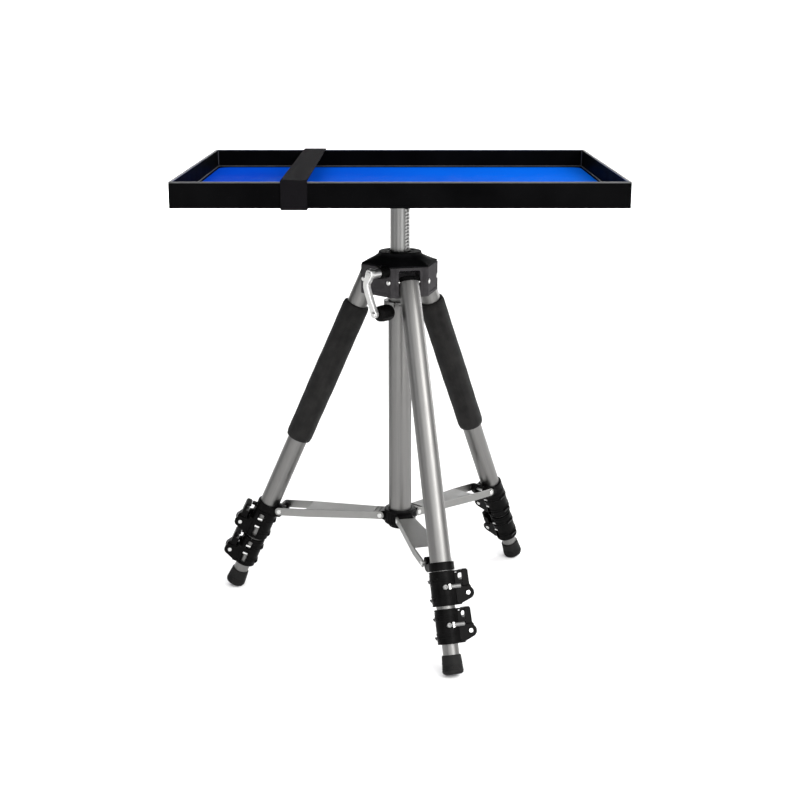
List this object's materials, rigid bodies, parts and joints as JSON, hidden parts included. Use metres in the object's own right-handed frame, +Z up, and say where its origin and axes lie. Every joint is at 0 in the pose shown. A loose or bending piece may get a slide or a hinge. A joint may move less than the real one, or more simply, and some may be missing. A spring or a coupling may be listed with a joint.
{
  "type": "projector floor stand",
  "caption": "Folding three-legged floor stand with telescopic legs, a geared crank column and a shallow walled tray with a strap and a mat.",
  "frame": {"origin": "on the floor, in the middle of the outer box", "axes": "+Z up along the column, -Y towards the front leg's side, +X to the right seen from the front"},
  "size_m": [0.48, 0.4212, 0.5517],
  "materials": {
    "tube": "satin, drawn along its length",
    "column": "satin",
    "head": "dark grey satin paint",
    "cap": "black, half gloss",
    "plastic": "black, half gloss, fine grain",
    "rubber": "matt black",
    "foam": "matt black foam skin",
    "brace": "bead-blasted grey",
    "steel": "bright",
    "crank": "polished casting",
    "tray": "black, fine grain",
    "mat": "bright blue, smooth cloth face",
    "strap": "black woven webbing"
  },
  "bodies": {
    "head": {"shoulder_housing": "head", "shoulder_cap": "cap", "leg_hinge_pin_front": "steel", "leg_hinge_pin_right": "steel", "leg_hinge_pin_left": "steel", "centre_tube": "tube", "tube_clamp_ring": "tube", "tube_end_plug": "plastic", "crank_bearing": "plastic"},
    "column": {"column_tube": "column", "column_rack": "column", "tray_flange": "plastic", "tray_pan": "tray", "tray_mat": "mat", "tray_strap": "strap"},
    "crank": {"crank_pinion": "steel", "crank_shaft": "steel", "crank_arm": "crank"},
    "crank_handle": {"crank_grip": "plastic"},
    "spreader": {"spreader_hub": "plastic", "hub_pin_front": "steel", "hub_pin_right": "steel", "hub_pin_left": "steel"},
    "leg_front": {"upper_tube_front": "tube", "brace_collar_front": "plastic", "brace_pin_front": "steel", "lock_upper_front": "plastic"},
    "upper_lever_front": {"lever_upper_front": "plastic"},
    "mid_section_front": {"mid_tube_front": "tube", "lock_lower_front": "plastic"},
    "lower_lever_front": {"lever_lower_front": "plastic"},
    "lower_section_front": {"lower_tube_front": "tube", "foot_front": "rubber"},
    "brace_arm_front": {"brace_front": "brace"},
    "leg_right": {"upper_tube_right": "tube", "foam_grip_right": "foam", "brace_collar_right": "plastic", "brace_pin_right": "steel", "lock_upper_right": "plastic"},
    "upper_lever_right": {"lever_upper_right": "plastic"},
    "mid_section_right": {"mid_tube_right": "tube", "lock_lower_right": "plastic"},
    "lower_lever_right": {"lever_lower_right": "plastic"},
    "lower_section_right": {"lower_tube_right": "tube", "foot_right": "rubber"},
    "brace_arm_right": {"brace_right": "brace"},
    "leg_left": {"upper_tube_left": "tube", "foam_grip_left": "foam", "brace_collar_left": "plastic", "brace_pin_left": "steel", "lock_upper_left": "plastic"},
    "upper_lever_left": {"lever_upper_left": "plastic"},
    "mid_section_left": {"mid_tube_left": "tube", "lock_lower_left": "plastic"},
    "lower_lever_left": {"lever_lower_left": "plastic"},
    "lower_section_left": {"lower_tube_left": "tube", "foot_left": "rubber"},
    "brace_arm_left": {"brace_left": "brace"}
  },
  "joints": [
    {"name": "leg_fold_front", "type": "hinge", "parent": "head", "child": "leg_front", "pos_m": [0.01022, -0.02278, 0.41671], "axis": [0.9632, 0.2689, 0], "range_deg": [0, 20.1]},
    {"name": "leg_fold_right", "type": "hinge", "parent": "head", "child": "leg_right", "pos_m": [0.02659, 0.04097, 0.41671], "axis": [-0.7145, 0.6997, 0], "range_deg": [0, 20.1]},
    {"name": "leg_fold_left", "type": "hinge", "parent": "head", "child": "leg_left", "pos_m": [-0.03681, 0.02327, 0.41671], "axis": [-0.2487, -0.9686, 0], "range_deg": [0, 20.1]},
    {"name": "brace_swing_front", "type": "hinge", "parent": "spreader", "child": "brace_arm_front", "pos_m": [0.00629, -0.00871, 0.11695], "axis": [0.9632, 0.2689, 0], "range_deg": [0, 79.9]},
    {"name": "upper_lever_open_front", "type": "hinge", "parent": "leg_front", "child": "upper_lever_front", "pos_m": [0.07473, -0.159, 0.08462], "axis": [-0.2455, 0.8792, -0.4083], "range_deg": [0, 110]},
    {"name": "lower_lever_open_front", "type": "hinge", "parent": "mid_section_front", "child": "lower_lever_front", "pos_m": [0.07755, -0.17618, 0.04592], "axis": [-0.2455, 0.8792, -0.4083], "range_deg": [0, 110]},
    {"name": "mid_section_slide_front", "type": "slide", "parent": "leg_front", "child": "mid_section_front", "axis": [0.1098, -0.3933, -0.9128], "range_m": [0, 0.2]},
    {"name": "lower_section_slide_front", "type": "slide", "parent": "mid_section_front", "child": "lower_section_front", "axis": [0.1098, -0.3933, -0.9128], "range_m": [0, 0.2]},
    {"name": "brace_swing_right", "type": "hinge", "parent": "spreader", "child": "brace_arm_right", "pos_m": [0.01637, 0.03054, 0.11695], "axis": [-0.7145, 0.6997, 0], "range_deg": [0, 79.9]},
    {"name": "upper_lever_open_right", "type": "hinge", "parent": "leg_right", "child": "upper_lever_right", "pos_m": [0.1123, 0.16495, 0.08462], "axis": [-0.6387, -0.6522, -0.4083], "range_deg": [0, 110]},
    {"name": "lower_lever_open_right", "type": "hinge", "parent": "mid_section_right", "child": "lower_lever_right", "pos_m": [0.12577, 0.17599, 0.04592], "axis": [-0.6387, -0.6522, -0.4083], "range_deg": [0, 110]},
    {"name": "mid_section_slide_right", "type": "slide", "parent": "leg_right", "child": "mid_section_right", "axis": [0.2857, 0.2917, -0.9128], "range_m": [0, 0.2]},
    {"name": "lower_section_slide_right", "type": "slide", "parent": "mid_section_right", "child": "lower_section_right", "axis": [0.2857, 0.2917, -0.9128], "range_m": [0, 0.2]},
    {"name": "brace_swing_left", "type": "hinge", "parent": "spreader", "child": "brace_arm_left", "pos_m": [-0.02267, 0.01964, 0.11695], "axis": [-0.2487, -0.9686, 0], "range_deg": [0, 79.9]},
    {"name": "upper_lever_open_left", "type": "hinge", "parent": "leg_left", "child": "upper_lever_left", "pos_m": [-0.20411, 0.05942, 0.09468], "axis": [-0.0114, -0.9943, -0.1057], "range_deg": [0, 110]},
    {"name": "lower_lever_open_left", "type": "hinge", "parent": "mid_section_left", "child": "lower_lever_left", "pos_m": [-0.21913, 0.06378, 0.05523], "axis": [-0.0114, -0.9943, -0.1057], "range_deg": [0, 110]},
    {"name": "mid_section_slide_left", "type": "slide", "parent": "leg_left", "child": "mid_section_left", "axis": [-0.3955, 0.1015, -0.9128], "range_m": [0, 0.2]},
    {"name": "lower_section_slide_left", "type": "slide", "parent": "mid_section_left", "child": "lower_section_left", "axis": [-0.3955, 0.1015, -0.9128], "range_m": [0, 0.2]},
    {"name": "spreader_slide", "type": "slide", "parent": "head", "child": "spreader", "axis": [0, 0, 1], "range_m": [0, 0.1034]},
    {"name": "column_lift", "type": "slide", "parent": "head", "child": "column", "axis": [0, 0, 1], "range_m": [-0.035, 0.2]},
    {"name": "crank_turn", "type": "hinge", "parent": "head", "child": "crank", "pos_m": [0.01241, 0.00167, 0.4296], "axis": [-0.6997, -0.7145, 0], "range_deg": [-1801, 316]},
    {"name": "crank_grip_spin", "type": "hinge", "parent": "crank", "child": "crank_handle", "pos_m": [-0.01686, -0.03965, 0.3836], "axis": [-0.6997, -0.7145, 0], "continuous": true}
  ],
  "couplings": [
    {"joint": "brace_swing_front", "follows": "leg_fold_front", "ratio": 3.9695},
    {"joint": "brace_swing_right", "follows": "leg_fold_front", "ratio": 3.9695},
    {"joint": "leg_fold_right", "follows": "leg_fold_front", "ratio": 1},
    {"joint": "brace_swing_left", "follows": "leg_fold_front", "ratio": 3.9695},
    {"joint": "leg_fold_left", "follows": "leg_fold_front", "ratio": 1},
    {"joint": "spreader_slide", "follows": "leg_fold_front", "m_per_rad": 0.29425},
    {"joint": "crank_turn", "follows": "column_lift", "rad_per_m": -157.08}
  ]
}
